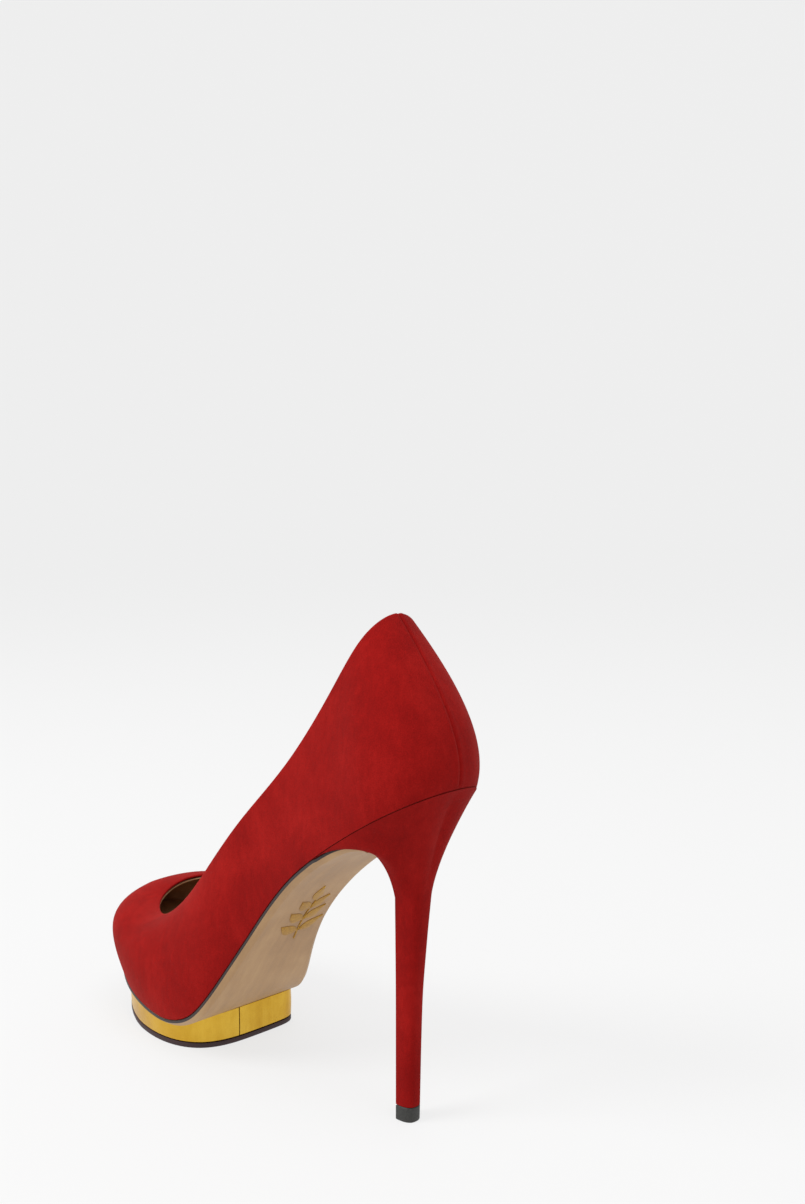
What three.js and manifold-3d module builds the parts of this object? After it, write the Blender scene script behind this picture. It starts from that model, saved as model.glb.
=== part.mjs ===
// High heel pump for a left foot: a suede upper lasted over a steep insole board, a leather
// sole, an island platform under the ball of the foot and a slim covered heel.
// Millimetres. x runs to the outer side of the foot, y from toe to heel and z up.
// Places on the shoe's bottom are given as (x, arc, rise): arc is the distance from the toe
// along the bottom line, and rise is the height above that line, square to it.

import * as THREE from "three";
import { mergeVertices } from "three/addons/utils/BufferGeometryUtils.js";
import Module from "manifold-3d";

const wasm = await Module();
wasm.setup();

// ---- driving dimensions ---------------------------------------------------------------

const GAP = 0.3; // clearance between neighbouring pieces
const LAST_LENGTH = 246; // bottom line, toe to heel
const BALL_HEIGHT = 14.9; // lowest point of the bottom line above the floor

// [arc, slope in degrees] of the bottom line
const BOTTOM_SLOPES = [
  [0, -11], [30, -8], [60, -3], [78, 18], [95, 49.5], [112, 56.3],
  [135, 54.4], [160, 46.2], [185, 35], [210, 31], [246, 29],
];

// Closed curves round the shoe have 20 stations: 0 at the heel, 10 at the toe,
// 1 to 9 on the outer side and 11 to 19 on the inner side.
const STATIONS = 20;
const STEPS_PER_STATION = 3;

// [x, arc] control points of the feather line, where upper and sole meet
const FEATHER = [
  [0, 248], [13, 246], [24.5, 230], [24, 202], [22.5, 168],
  [22.5, 135], [30, 100], [34, 68], [27.5, 31], [10.5, 3.5],
  [-4.5, -3.5], [-20.5, 4], [-31.5, 32], [-35, 70], [-22.5, 100],
  [-13, 135], [-17, 168], [-23, 202], [-24.5, 230], [-13, 246],
];

// [x, y, z] control points of the top line, the edge of the opening
const TOPLINE = [
  [0, 173, 187.3], [8.5, 172, 185], [16, 167.5, 177], [19, 156.5, 157], [20.5, 134.5, 128],
  [23.3, 110, 105], [25, 92, 84], [24, 75, 65], [18.5, 48, 48], [5, 24, 47.5],
  [-6, 19.5, 52.5], [-17, 24, 56.5], [-26, 46, 58.5], [-27.5, 73, 69], [-26, 92, 86],
  [-25, 110, 107], [-22.5, 134, 130], [-20, 156, 158], [-16, 167.5, 177], [-8.5, 172, 184.5],
];

// [station from the heel, lower reach, lower bulge, upper reach, upper bulge] of the wall
const WALL_SHAPE = [
  [0, 20, 14.5, 17, 5.5], [1, 20, 13.5, 17, 5.5], [2, 18, 7.5, 16, 3.5], [3, 15, 2.5, 14, 1],
  [5, 13, 2.3, 12, 0.8], [6, 15, 3.5, 14, 2.4], [7, 16, 6.5, 14, 5], [8, 21, 14.5, 9, 12.3],
  [9, 29, 25.5, 0.5, 18], [10, 31, 28, -1, 20],
];
const WALL_LEVELS = [0, 0.06, 0.15, 0.27, 0.4, 0.53, 0.66, 0.78, 0.88, 1];

const SUEDE_THICKNESS = 1.1;
const LINING_THICKNESS = 0.7;
const LINING_GAP = 0.45;
const STIFFENER_THICKNESS = 0.8;
const LASTING_MARGIN = 9; // upper and lining turned under the insole board

const INSOLE_BASE = 2.4; // rise of the board's underside
const INSOLE_THICKNESS = 2;
const INSOLE_INSET = 3.8;
const FOAM_THICKNESS = 1.5;
const SOCK_THICKNESS = 0.8;
const HIDDEN_PLATFORM = 9; // cork wedge under the ball, inside the upper
const HIDDEN_PLATFORM_END = 110;
const HIDDEN_PLATFORM_TAPER = [88, 122];

const SHANK = { centre: 2.5, halfWidth: 5, from: 116, to: 206, low: 0.5, high: 1.7 };
const RIVET_ARCS = [124, 198];
const SCREW_ARC = 219;
const NAIL_PLACES = [[9, 216], [9, 229], [-9, 216], [-9, 229]];

const SOLE_THICKNESS = 2.8;
const SOLE_EDGE = 1.1; // upright part of the sole's edge
const SOLE_BEVEL = 2.6; // how far the underside is set in from the edge
const SOLE_END = 209;
const SOLE_TUCK = 0.9; // how far the sole's edge lies inside the heel's lip

// [x, y] control points of the island platform's outline, from its rear round the outer side
const ISLAND = [
  [-4, 81.5], [9, 81], [20, 76], [26.3, 63.5], [26.3, 45], [20.5, 24], [9.5, 11],
  [-4, 7], [-17, 11], [-26.5, 27], [-30, 50], [-30.5, 70], [-28, 81], [-17, 81.5],
];
const OUTSOLE_THICKNESS = 2.2;
const WRAP_THICKNESS = 0.9;
const WRAP_SEAM = 0.55; // place of the wrap's seam on the outline, counted in its points
const ROCKER_START = 42; // the outsole curves up from here to the toe
const ROCKER_LENGTH = 38;
const ROCKER_RISE = 10;

const HEEL_FRONT = 188; // arc where the heel's lip begins
const HEEL_CORE_FRONT = 206;
const HEEL_SKIN = 0.6;
const NECK_HEIGHT = 84;
const LIFT_HEIGHT = 5.6;
// [height, front y, back y, half width] of the stem
const STEM = [[0, 175.3, 182, 4], [44, 175.8, 183.2, 4.5], [68, 176.4, 185.2, 5.3], [84, 177.2, 186.7, 6.3]];
// [share of the seat from front to back, direction in degrees, reach, reach above the neck,
// widening above the neck, narrowing below the seat]
const FLARE = [
  [0, 36, 22, 24, 2.3, 0], [0.12, 5, 17, 20, 2, 0.08], [0.42, -70, 11, 13, 1.15, 0.5],
  [0.71, -110, 12, 8, 1.05, 0.62], [1, -132, 13, 8, 1.05, 0.62],
];
const TUBE = { bottom: [178.8, 6.2], top: [180.6, 88], outer: 1.5, inner: 1.2 };
const PIN = { radius: 0.9, low: 2.5, high: 16 };

const ORNAMENT = { centre: 0, from: 126, to: 162, halfWidth: 12, thickness: 0.4 };

// ---- small helpers --------------------------------------------------------------------

const radians = THREE.MathUtils.degToRad;
const vector = (x, y, z) => new THREE.Vector3(x, y, z);

// Smooth interpolation in a table of [key, value, ...] rows, without overshoot
function lookUp(table, key, column = 1) {
  const last = table.length - 1;
  const steps = Array.from({ length: last }, (_, i) => table[i + 1][0] - table[i][0]);
  const slopes = steps.map((step, i) => (table[i + 1][column] - table[i][column]) / step);
  const tangent = (i) => {
    if (i === 0) return slopes[0];
    if (i === last) return slopes[last - 1];
    const product = slopes[i - 1] * slopes[i];
    return product > 0 ? (2 * product) / (slopes[i - 1] + slopes[i]) : 0;
  };
  let i = 0;
  while (i < last - 1 && key > table[i + 1][0]) i += 1;
  const t = THREE.MathUtils.clamp((key - table[i][0]) / steps[i], 0, 1);
  const start = table[i][column] * (1 + 2 * t) * (1 - t) ** 2 + tangent(i) * steps[i] * t * (1 - t) ** 2;
  const end = table[i + 1][column] * t * t * (3 - 2 * t) - tangent(i + 1) * steps[i] * t * t * (1 - t);
  return start + end;
}

// Point of a closed uniform cubic B-spline
function onLoop(controls, station) {
  const count = controls.length;
  const wrapped = ((station % count) + count) % count;
  const i = Math.floor(wrapped);
  const t = wrapped - i;
  const weights = [(1 - t) ** 3, 3 * t ** 3 - 6 * t * t + 4, -3 * t ** 3 + 3 * t * t + 3 * t + 1, t ** 3];
  return controls[0].map((_, axis) =>
    weights.reduce((sum, weight, k) => sum + (weight * controls[(i + k - 1 + count) % count][axis]) / 6, 0));
}

// Unit normal of a flat closed loop, pointing outwards
function loopNormal(controls, station) {
  const before = onLoop(controls, station - 0.02);
  const after = onLoop(controls, station + 0.02);
  const run = [after[0] - before[0], after[1] - before[1]];
  const length = Math.hypot(...run);
  return [-run[1] / length, run[0] / length];
}

// Point of a flat closed loop, moved inwards
function inset(controls, station, distance) {
  const point = onLoop(controls, station);
  const normal = loopNormal(controls, station);
  return [point[0] - normal[0] * distance, point[1] - normal[1] * distance];
}

function series(from, to, count) {
  return Array.from({ length: count + 1 }, (_, i) => from + ((to - from) * i) / count);
}

// ---- solids ---------------------------------------------------------------------------

function closedGeometry(positions, triangles) {
  const raw = new THREE.BufferGeometry();
  raw.setAttribute("position", new THREE.Float32BufferAttribute(positions, 3));
  raw.setIndex(triangles);
  const merged = mergeVertices(raw, 1e-3);
  const index = merged.getIndex().array;
  const corner = (i) => new THREE.Vector3().fromBufferAttribute(merged.getAttribute("position"), index[i]);
  const kept = [];
  let volume = 0;
  for (let i = 0; i < index.length; i += 3) {
    const [a, b, c] = index.slice(i, i + 3);
    if (a === b || b === c || c === a) continue;
    kept.push([a, b, c]);
    volume += corner(i).dot(corner(i + 1).cross(corner(i + 2)));
  }
  merged.setIndex(kept.flatMap(([a, b, c]) => (volume > 0 ? [a, b, c] : [a, c, b])));
  merged.computeVertexNormals();
  return merged;
}

// Solid through a row of closed sections. Its ends are closed by joining each section's
// point i to point n - 1 - i, unless the row itself closes into a ring.
function loft(sections, ring = false) {
  const count = sections[0].length;
  const triangles = [];
  const quad = (a, b, c, d) => triangles.push(a, b, c, a, c, d);
  const spans = ring ? sections.length : sections.length - 1;
  for (let row = 0; row < spans; row += 1) {
    const here = row * count;
    const there = ((row + 1) % sections.length) * count;
    for (let i = 0; i < count; i += 1) {
      const j = (i + 1) % count;
      quad(here + i, here + j, there + j, there + i);
    }
  }
  const end = spans * count;
  for (let i = 0; !ring && i < Math.floor(count / 2); i += 1) {
    const [a, b, c, d] = [i, i + 1, count - 2 - i, count - 1 - i];
    quad(d, c, b, a);
    quad(end + a, end + b, end + c, end + d);
  }
  return closedGeometry(sections.flat().flatMap((point) => point.toArray()), triangles);
}

function toManifold(geometry) {
  const bare = geometry.clone();
  bare.deleteAttribute("normal");
  bare.deleteAttribute("uv");
  const merged = mergeVertices(bare, 1e-3);
  const vertProperties = new Float32Array(merged.getAttribute("position").array);
  const triVerts = new Uint32Array(merged.getIndex().array);
  return new wasm.Manifold(new wasm.Mesh({ numProp: 3, vertProperties, triVerts }));
}

function cut(geometry, ...tools) {
  const body = tools.reduce((rest, tool) => rest.subtract(toManifold(tool)), toManifold(geometry));
  const mesh = body.getMesh();
  return closedGeometry(Array.from(mesh.vertProperties), Array.from(mesh.triVerts));
}

// Round piece from a profile of [radius, height], standing on +z
function turned(profile, segments = 16) {
  const points = profile.map(([radius, height]) => new THREE.Vector2(radius, height));
  return new THREE.LatheGeometry(points, segments).rotateX(Math.PI / 2);
}

const rod = (radius, low, high, segments) =>
  turned([[0, low], [radius, low], [radius, high], [0, high]], segments);

// ---- the bottom line ------------------------------------------------------------------

const BOTTOM_STEP = 0.5;
const bottomLine = traceBottom();

function traceBottom() {
  const points = [{ y: 0, z: 0, angle: radians(BOTTOM_SLOPES[0][1]) }];
  for (let arc = BOTTOM_STEP; arc <= LAST_LENGTH; arc += BOTTOM_STEP) {
    const before = points.at(-1);
    const angle = radians(lookUp(BOTTOM_SLOPES, arc));
    const middle = (before.angle + angle) / 2;
    const y = before.y + BOTTOM_STEP * Math.cos(middle);
    points.push({ y, z: before.z + BOTTOM_STEP * Math.sin(middle), angle });
  }
  const lowest = Math.min(...points.map((point) => point.z));
  return points.map((point) => ({ ...point, z: point.z - lowest + BALL_HEIGHT }));
}

function bottomAt(arc) {
  const place = THREE.MathUtils.clamp(arc, 0, LAST_LENGTH) / BOTTOM_STEP;
  const i = Math.min(Math.floor(place), bottomLine.length - 2);
  const mix = (name) => THREE.MathUtils.lerp(bottomLine[i][name], bottomLine[i + 1][name], place - i);
  const [y, z, angle] = [mix("y"), mix("z"), mix("angle")];
  const beyond = arc - THREE.MathUtils.clamp(arc, 0, LAST_LENGTH);
  return { y: y + beyond * Math.cos(angle), z: z + beyond * Math.sin(angle), angle };
}

function bend(x, arc, rise) {
  const { y, z, angle } = bottomAt(arc);
  return vector(x, y - rise * Math.sin(angle), z + rise * Math.cos(angle));
}

// Moves a piece that stands on +z to a place on the bottom, square to it
function standOn(geometry, x, arc) {
  const turn = new THREE.Matrix4().makeRotationX(bottomAt(arc).angle);
  return geometry.clone().applyMatrix4(turn.setPosition(bend(x, arc, 0)));
}

// ---- plates that follow the bottom ----------------------------------------------------

const PLATE_COLUMNS = 4;

// Plate from one station to another, cut to the feather line less an inset. low and high
// give its rise at an arc.
function plate({ from = 0, to = STATIONS / 2, edge, low, high }) {
  const rows = series(from, to, Math.round((to - from) * STEPS_PER_STATION));
  return loft(rows.map((station) => {
    const outer = inset(FEATHER, station, edge);
    const inner = inset(FEATHER, -station, edge);
    const across = series(0, 1, PLATE_COLUMNS).map((share) =>
      [THREE.MathUtils.lerp(outer[0], inner[0], share), THREE.MathUtils.lerp(outer[1], inner[1], share)]);
    const top = across.map(([x, arc]) => bend(x, arc, high(arc)));
    const underside = across.map(([x, arc]) => bend(x, arc, low(arc))).reverse();
    return [...top, ...underside];
  }));
}

// Station on the outer side where the feather line reaches an arc
function stationAt(arc) {
  let low = 1;
  let high = STATIONS / 2 - 1;
  for (let pass = 0; pass < 30; pass += 1) {
    const middle = (low + high) / 2;
    if (onLoop(FEATHER, middle)[1] > arc) low = middle;
    else high = middle;
  }
  return low;
}

// Lift of the insole board over the hidden platform
function forepartLift(arc) {
  return HIDDEN_PLATFORM * (1 - THREE.MathUtils.smoothstep(arc, ...HIDDEN_PLATFORM_TAPER));
}

// ---- upper, lining and stiffeners -----------------------------------------------------

function wallPoint(station, level) {
  const foot = bend(...onLoop(FEATHER, station), 0);
  const head = vector(...onLoop(TOPLINE, station));
  const wrapped = ((station % STATIONS) + STATIONS) % STATIONS;
  const fromHeel = Math.min(wrapped, STATIONS - wrapped);
  const [lowReach, lowBulge, highReach, highBulge] = [1, 2, 3, 4].map((i) => lookUp(WALL_SHAPE, fromHeel, i));
  const chord = head.clone().sub(foot).normalize();
  const outwards = vector(...loopNormal(FEATHER, station), 0);
  const lowHandle = foot.clone().addScaledVector(chord, lowReach).addScaledVector(outwards, lowBulge);
  const highHandle = head.clone().addScaledVector(chord, -highReach).addScaledVector(outwards, highBulge);
  return new THREE.CubicBezierCurve3(foot, lowHandle, highHandle, head).getPoint(level);
}

// Point inside the wall, measured square to its outer face
function insideWall(station, level, depth) {
  const small = 0.02;
  const along = wallPoint(station + small, level).sub(wallPoint(station - small, level));
  const low = Math.max(level - small, 0);
  const high = Math.min(level + small, 1);
  const up = wallPoint(station, high).sub(wallPoint(station, low));
  return wallPoint(station, level).addScaledVector(along.cross(up).normalize(), depth);
}

const PUFF = { from: 8, to: 12, levels: [0.15, 0.66] };
const COUNTER = { from: -8 / 3, to: 8 / 3, levels: [0.15, 0.66] };
const STIFFENER_STEP = 1 / STEPS_PER_STATION;

// 1 where a stiffener lies between upper and lining, falling to 0 around it
function stiffened(station, level) {
  const wrapped = ((station % STATIONS) + STATIONS) % STATIONS;
  const fromHeel = Math.min(wrapped, STATIONS - wrapped);
  const reach = (limit, sign) => 1 - THREE.MathUtils.clamp((sign * (fromHeel - limit)) / STIFFENER_STEP - 1, 0, 2) / 2;
  const beside = Math.max(reach(COUNTER.to, 1), reach(PUFF.from, -1));
  return beside * (1 - THREE.MathUtils.smoothstep(level, 0.78, 0.93));
}

function liningDepth(station, level) {
  return SUEDE_THICKNESS + LINING_GAP + (STIFFENER_THICKNESS + GAP) * stiffened(station, level);
}

// Shell round the shoe: a turned-under margin, then the wall between two depths
function wallShell(base, thickness, depth, levels) {
  const stations = series(0, STATIONS, STATIONS * STEPS_PER_STATION).slice(0, -1);
  return loft(stations.map((station) => {
    const edge = depth(station, 0);
    const onBottom = (distance, rise) => bend(...inset(FEATHER, station, distance), rise);
    const outside = levels.map((level) => (level === 0
      ? onBottom(edge, base)
      : insideWall(station, level, depth(station, level))));
    const inside = levels.map((level) => (level === 0
      ? onBottom(edge + thickness, base + thickness)
      : insideWall(station, level, depth(station, level) + thickness)));
    return [
      onBottom(LASTING_MARGIN, base), ...outside,
      ...inside.reverse(), onBottom(LASTING_MARGIN, base + thickness),
    ];
  }), true);
}

function stiffener({ from, to, levels: [low, high] }) {
  const levels = [low, ...WALL_LEVELS.filter((level) => level > low && level < high), high];
  const depth = SUEDE_THICKNESS + GAP;
  return loft(series(from, to, Math.round((to - from) * STEPS_PER_STATION)).map((station) => [
    ...levels.map((level) => insideWall(station, level, depth)),
    ...[...levels].reverse().map((level) => insideWall(station, level, depth + STIFFENER_THICKNESS)),
  ]));
}

function suedeUpper() {
  return wallShell(0, SUEDE_THICKNESS, () => 0, WALL_LEVELS);
}

function upperLining() {
  const levels = WALL_LEVELS.map((level) => level * 0.985).filter((level) => level === 0 || level > 0.1);
  return wallShell(SUEDE_THICKNESS + GAP, LINING_THICKNESS, liningDepth, levels);
}

// ---- insole, shank and fastenings -----------------------------------------------------

const BOARD_TOP = INSOLE_BASE + INSOLE_THICKNESS;
const FOAM_BASE = BOARD_TOP + GAP;
const SOCK_BASE = FOAM_BASE + FOAM_THICKNESS + GAP;
const FASTENER_HEAD = 0.4; // thickness of rivet, screw and nail heads, sunk in the board

const rivetShape = turned([
  [0, 0.1], [2.5, 0.1], [2.5, SHANK.low - 0.1], [1.2, SHANK.low - 0.1],
  [1.2, BOARD_TOP - FASTENER_HEAD], [2.4, BOARD_TOP - FASTENER_HEAD], [2.4, BOARD_TOP], [0, BOARD_TOP],
]);
const rivetHole = rod(1.2 + GAP, -1, BOARD_TOP + 1);
const rivetSeat = rod(2.4 + GAP, BOARD_TOP - FASTENER_HEAD - GAP, BOARD_TOP + 1);

const screwShape = turned([
  [0, -17], [0.6, -15.5], [1.6, -12], [1.6, 2.6], [3.4, BOARD_TOP - FASTENER_HEAD], [3.4, BOARD_TOP],
  [0, BOARD_TOP],
]);
const screwHole = turned([
  [0, -18], [1.6 + GAP, -18], [1.6 + GAP, 2.2], [3.4 + GAP, 3.6], [3.4 + GAP, BOARD_TOP + 1],
  [0, BOARD_TOP + 1],
]);

const nailShape = turned([
  [0, -8], [0.8, -6.5], [0.8, BOARD_TOP - FASTENER_HEAD], [2, BOARD_TOP - FASTENER_HEAD],
  [2, BOARD_TOP], [0, BOARD_TOP],
], 12);
const nailHole = turned([
  [0, -9], [0.8 + GAP, -9], [0.8 + GAP, BOARD_TOP - FASTENER_HEAD - GAP],
  [2 + GAP, BOARD_TOP - FASTENER_HEAD - GAP], [2 + GAP, BOARD_TOP + 1], [0, BOARD_TOP + 1],
], 12);

const rivetHoles = RIVET_ARCS.flatMap((arc) => [rivetHole, rivetSeat].map((tool) => standOn(tool, SHANK.centre, arc)));
const heelHoles = [
  standOn(screwHole, 0, SCREW_ARC),
  ...NAIL_PLACES.map(([x, arc]) => standOn(nailHole, x, arc)),
];

function insoleBoard() {
  const board = plate({
    edge: INSOLE_INSET,
    low: (arc) => INSOLE_BASE + forepartLift(arc),
    high: (arc) => BOARD_TOP + forepartLift(arc),
  });
  return cut(board, ...rivetHoles, ...heelHoles);
}

function hiddenPlatform() {
  return plate({
    from: stationAt(HIDDEN_PLATFORM_END),
    edge: INSOLE_INSET,
    low: () => INSOLE_BASE,
    high: (arc) => INSOLE_BASE - GAP + forepartLift(arc),
  });
}

function footbedFoam() {
  return plate({
    edge: INSOLE_INSET,
    low: (arc) => FOAM_BASE + forepartLift(arc),
    high: (arc) => FOAM_BASE + FOAM_THICKNESS + forepartLift(arc),
  });
}

function sockLining() {
  return plate({
    edge: INSOLE_INSET,
    low: (arc) => SOCK_BASE + forepartLift(arc),
    high: (arc) => SOCK_BASE + SOCK_THICKNESS + forepartLift(arc),
  });
}

function bottomFiller() {
  return plate({
    from: stationAt(SHANK.from - 4),
    edge: LASTING_MARGIN + 0.5,
    low: () => 0,
    high: () => INSOLE_BASE - 2 * GAP,
  });
}

function steelShank() {
  const { centre, halfWidth, from, to, low, high } = SHANK;
  const strip = loft(series(from, to, 24).map((arc) => [
    bend(centre + halfWidth, arc, high), bend(centre - halfWidth, arc, high),
    bend(centre - halfWidth, arc, low), bend(centre + halfWidth, arc, low),
  ]));
  return cut(strip, ...rivetHoles);
}

// ---- heel -----------------------------------------------------------------------------

// Point on the stem at a height; share runs from its front corner (0) to its back (1)
function stemPoint(share, height, side, skin) {
  const [front, back, halfWidth] = [1, 2, 3].map((column) => lookUp(STEM, height, column));
  const turn = (share * Math.PI) / 2;
  const roundness = 0.75;
  const x = (halfWidth - skin) * Math.cos(turn) ** roundness;
  const y = front + skin + (back - front - 2 * skin) * Math.sin(turn) ** roundness;
  return vector(share === 1 ? 0 : side * x, y, height);
}

// Line down the heel from the seat to the neck
function heelRib(share, side, frontArc, skin) {
  const station = (1 - share) * stationAt(frontArc) * side;
  const [x, arc] = inset(FEATHER, station, skin);
  const coreShare = 1 - (1 - share) * (stationAt(frontArc) / stationAt(HEEL_FRONT));
  const columns = [1, 2, 3, 4, 5].map((column) => lookUp(FLARE, coreShare, column));
  const [direction, reach, neckReach, widening, narrowing] = columns;
  const seat = bend(share === 1 ? 0 : x, arc, -GAP);
  const neck = stemPoint(share, NECK_HEIGHT, side, skin);
  const angle = radians(direction);
  const lowReach = vector(-seat.x * narrowing, reach * Math.cos(angle), reach * Math.sin(angle));
  const leaving = seat.clone().add(lowReach);
  const arriving = neck.clone().add(vector(neck.x * (widening - 1), neckReach * 0.1, neckReach));
  return new THREE.CubicBezierCurve3(seat, leaving, arriving, neck);
}

const HEEL_SHARES = series(0, 1, 8);
const HEEL_RINGS = series(0, 1, 8);
const STEM_HEIGHTS = [70, 52, 34, 16];

// Sections of the heel from its seat to a height just above the floor
function heelSections(frontArc, skin, base, seatRise) {
  const round = (point) => [
    ...HEEL_SHARES.map((share) => point(share, 1)),
    ...HEEL_SHARES.slice(0, -1).reverse().map((share) => point(share, -1)),
  ];
  const rings = HEEL_RINGS.map((t) => round((share, side) => heelRib(share, side, frontArc, skin).getPoint(t)));
  const stem = [...STEM_HEIGHTS, base].map((height) => round((share, side) => stemPoint(share, height, side, skin)));
  if (seatRise > 0) rings.unshift(rings[0].map((point) => point.clone().add(vector(0, -seatRise / 2, seatRise))));
  return [...rings, ...stem];
}

const heelEnd = LIFT_HEIGHT + GAP;

function leaningRod(radius, extra) {
  const [low, high] = [TUBE.bottom, TUBE.top];
  const length = Math.hypot(high[0] - low[0], high[1] - low[1]);
  return leanTube(rod(radius, -extra, length + extra));
}

function leanTube(geometry) {
  const [low, high] = [TUBE.bottom, TUBE.top];
  const lean = Math.atan2(high[0] - low[0], high[1] - low[1]);
  return geometry.rotateX(-lean).translate(0, ...low);
}

function heelBlock() {
  const block = loft(heelSections(HEEL_CORE_FRONT, HEEL_SKIN + GAP, heelEnd, 0));
  return cut(block, leaningRod(TUBE.outer + GAP, GAP + 1), ...heelHoles);
}

function heelCover() {
  const outside = loft(heelSections(HEEL_FRONT, 0, heelEnd, 0));
  const core = loft(heelSections(HEEL_CORE_FRONT - 2, HEEL_SKIN, heelEnd - 2, 4));
  return cut(outside, core);
}

function heelStemTube() {
  const [low, high] = [TUBE.bottom, TUBE.top];
  const length = Math.hypot(high[0] - low[0], high[1] - low[1]);
  const { inner, outer } = TUBE;
  return leanTube(turned([[inner, 0], [outer, 0], [outer, length], [inner, length], [inner, 0]], 16));
}

function liftSection(height) {
  return [
    ...HEEL_SHARES.map((share) => stemPoint(share, height, 1, 0)),
    ...HEEL_SHARES.slice(0, -1).reverse().map((share) => stemPoint(share, height, -1, 0)),
  ];
}

function topLift() {
  const hole = rod(PIN.radius + GAP, PIN.low - GAP, LIFT_HEIGHT + 1).translate(0, TUBE.bottom[0], 0);
  return cut(loft([0, LIFT_HEIGHT].map(liftSection)), hole);
}

function topLiftPin() {
  return rod(PIN.radius, PIN.low, PIN.high, 12).translate(0, TUBE.bottom[0], 0);
}

// ---- sole, platform and ornament ------------------------------------------------------

const LIP_SHARE = 0.52; // part of the front rib that the sole lies against

// [arc, rise] along the underside of the heel's lip, on each side
const lipShares = HEEL_RINGS.filter((t) => t <= LIP_SHARE);
const heelLips = [1, -1].map((side) => lipShares.map((t) => {
  const point = heelRib(0, side, HEEL_FRONT, 0).getPoint(t);
  return [arcBelow(point), riseOf(point)];
}));

// Arc of the foot of the perpendicular from a point to the bottom line
function arcBelow(point) {
  let low = 0;
  let high = LAST_LENGTH;
  for (let pass = 0; pass < 30; pass += 1) {
    const middle = (low + high) / 2;
    const { y, z, angle } = bottomAt(middle);
    const ahead = (point.y - y) * Math.cos(angle) + (point.z - z) * Math.sin(angle);
    if (ahead > 0) low = middle;
    else high = middle;
  }
  return low;
}

function riseOf(point) {
  const { y, z, angle } = bottomAt(arcBelow(point));
  return (point.z - z) * Math.cos(angle) - (point.y - y) * Math.sin(angle);
}

function riseUnder(lip, arc) {
  const next = lip.findIndex(([start]) => start > arc);
  if (next === 0) return 0;
  if (next < 0) return lip.at(-1)[1];
  const [before, after] = [lip[next - 1], lip[next]];
  return THREE.MathUtils.mapLinear(arc, before[0], after[0], before[1], after[1]);
}

// Rise of the sole's top face: it lies under the upper, then under the heel's lip
function soleTop(arc) {
  return Math.min(0, ...heelLips.map((lip) => riseUnder(lip, arc))) - GAP;
}

// How far the sole's edge follows the heel's lip inwards
function soleEdge(arc) {
  const shares = heelLips[0].map(([start], i) => [start, lipShares[i]]);
  if (arc < shares[0][0]) return 0;
  const lip = heelRib(0, 1, HEEL_FRONT, 0);
  const tuck = SOLE_TUCK * THREE.MathUtils.smoothstep(arc, HEEL_FRONT, HEEL_FRONT + 6);
  return lip.getPoint(0).x - lip.getPoint(lookUp(shares, arc)).x + tuck;
}

function soleSection(station) {
  const sides = [station, -station].map((s) => onLoop(FEATHER, s)[1]);
  const corner = (side, extra) => inset(FEATHER, side === 0 ? station : -station, soleEdge(sides[side]) + extra);
  const across = (extra) => series(0, 1, PLATE_COLUMNS).map((share) => {
    const [outer, inner] = [corner(0, extra), corner(1, extra)];
    return [THREE.MathUtils.lerp(outer[0], inner[0], share), THREE.MathUtils.lerp(outer[1], inner[1], share)];
  });
  const edgePoint = (side) => {
    const [x, arc] = corner(side, 0);
    return bend(x, arc, soleTop(arc) - SOLE_EDGE);
  };
  return [
    ...across(0).map(([x, arc]) => bend(x, arc, soleTop(arc))),
    edgePoint(1),
    ...across(SOLE_BEVEL).reverse().map(([x, arc]) => bend(x, arc, soleTop(arc) - SOLE_THICKNESS)),
    edgePoint(0),
  ];
}

function mainSole() {
  const rear = stationAt(SOLE_END);
  const front = STATIONS / 2;
  const rows = series(rear, front, Math.round((front - rear) * STEPS_PER_STATION * 1.5));
  return loft(rows.map((station) => (station === front ? toeSection() : soleSection(station))));
}

// The sole's last section, where both edges meet at the toe
function toeSection() {
  const [x, arc] = onLoop(FEATHER, STATIONS / 2);
  const tip = (back, rise) => bend(x, arc + back, rise);
  const count = PLATE_COLUMNS + 1;
  return [
    ...Array(count).fill(tip(0, -GAP)), tip(0, -GAP - SOLE_EDGE),
    ...Array(count).fill(tip(SOLE_BEVEL, -GAP - SOLE_THICKNESS)), tip(0, -GAP - SOLE_EDGE),
  ];
}

// [y, z] along the sole's underside, less a clearance
const underSole = bottomLine.map((_, i) => {
  const point = bend(0, i * BOTTOM_STEP, -GAP - SOLE_THICKNESS - GAP);
  return [point.y, point.z];
});

function underSoleAt(y) {
  const i = Math.max(1, underSole.findIndex(([place]) => place > y));
  const [before, after] = [underSole[i - 1], underSole[i]];
  return THREE.MathUtils.mapLinear(y, before[0], after[0], before[1], after[1]);
}

function floorAt(y) {
  return ROCKER_RISE * (Math.max(0, ROCKER_START - y) / ROCKER_LENGTH) ** 2;
}

const ISLAND_HALF = ISLAND.length / 2;

// Solid with the island's outline, between two heights that depend on y
function islandSolid(edge, low, high) {
  return loft(series(0, ISLAND_HALF, ISLAND_HALF * 3).map((station) => {
    const [outer, inner] = [inset(ISLAND, station, edge), inset(ISLAND, -station, edge)];
    const across = series(0, 1, PLATE_COLUMNS).map((share) =>
      [THREE.MathUtils.lerp(outer[0], inner[0], share), THREE.MathUtils.lerp(outer[1], inner[1], share)]);
    return [
      ...across.map(([x, y]) => vector(x, y, high(y))),
      ...across.reverse().map(([x, y]) => vector(x, y, low(y))),
    ];
  }));
}

const wrapBase = (y) => floorAt(y) + OUTSOLE_THICKNESS + GAP;

function platformOutsole() {
  return islandSolid(0, floorAt, (y) => floorAt(y) + OUTSOLE_THICKNESS);
}

function platformCore() {
  return islandSolid(WRAP_THICKNESS + GAP, wrapBase, underSoleAt);
}

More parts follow.
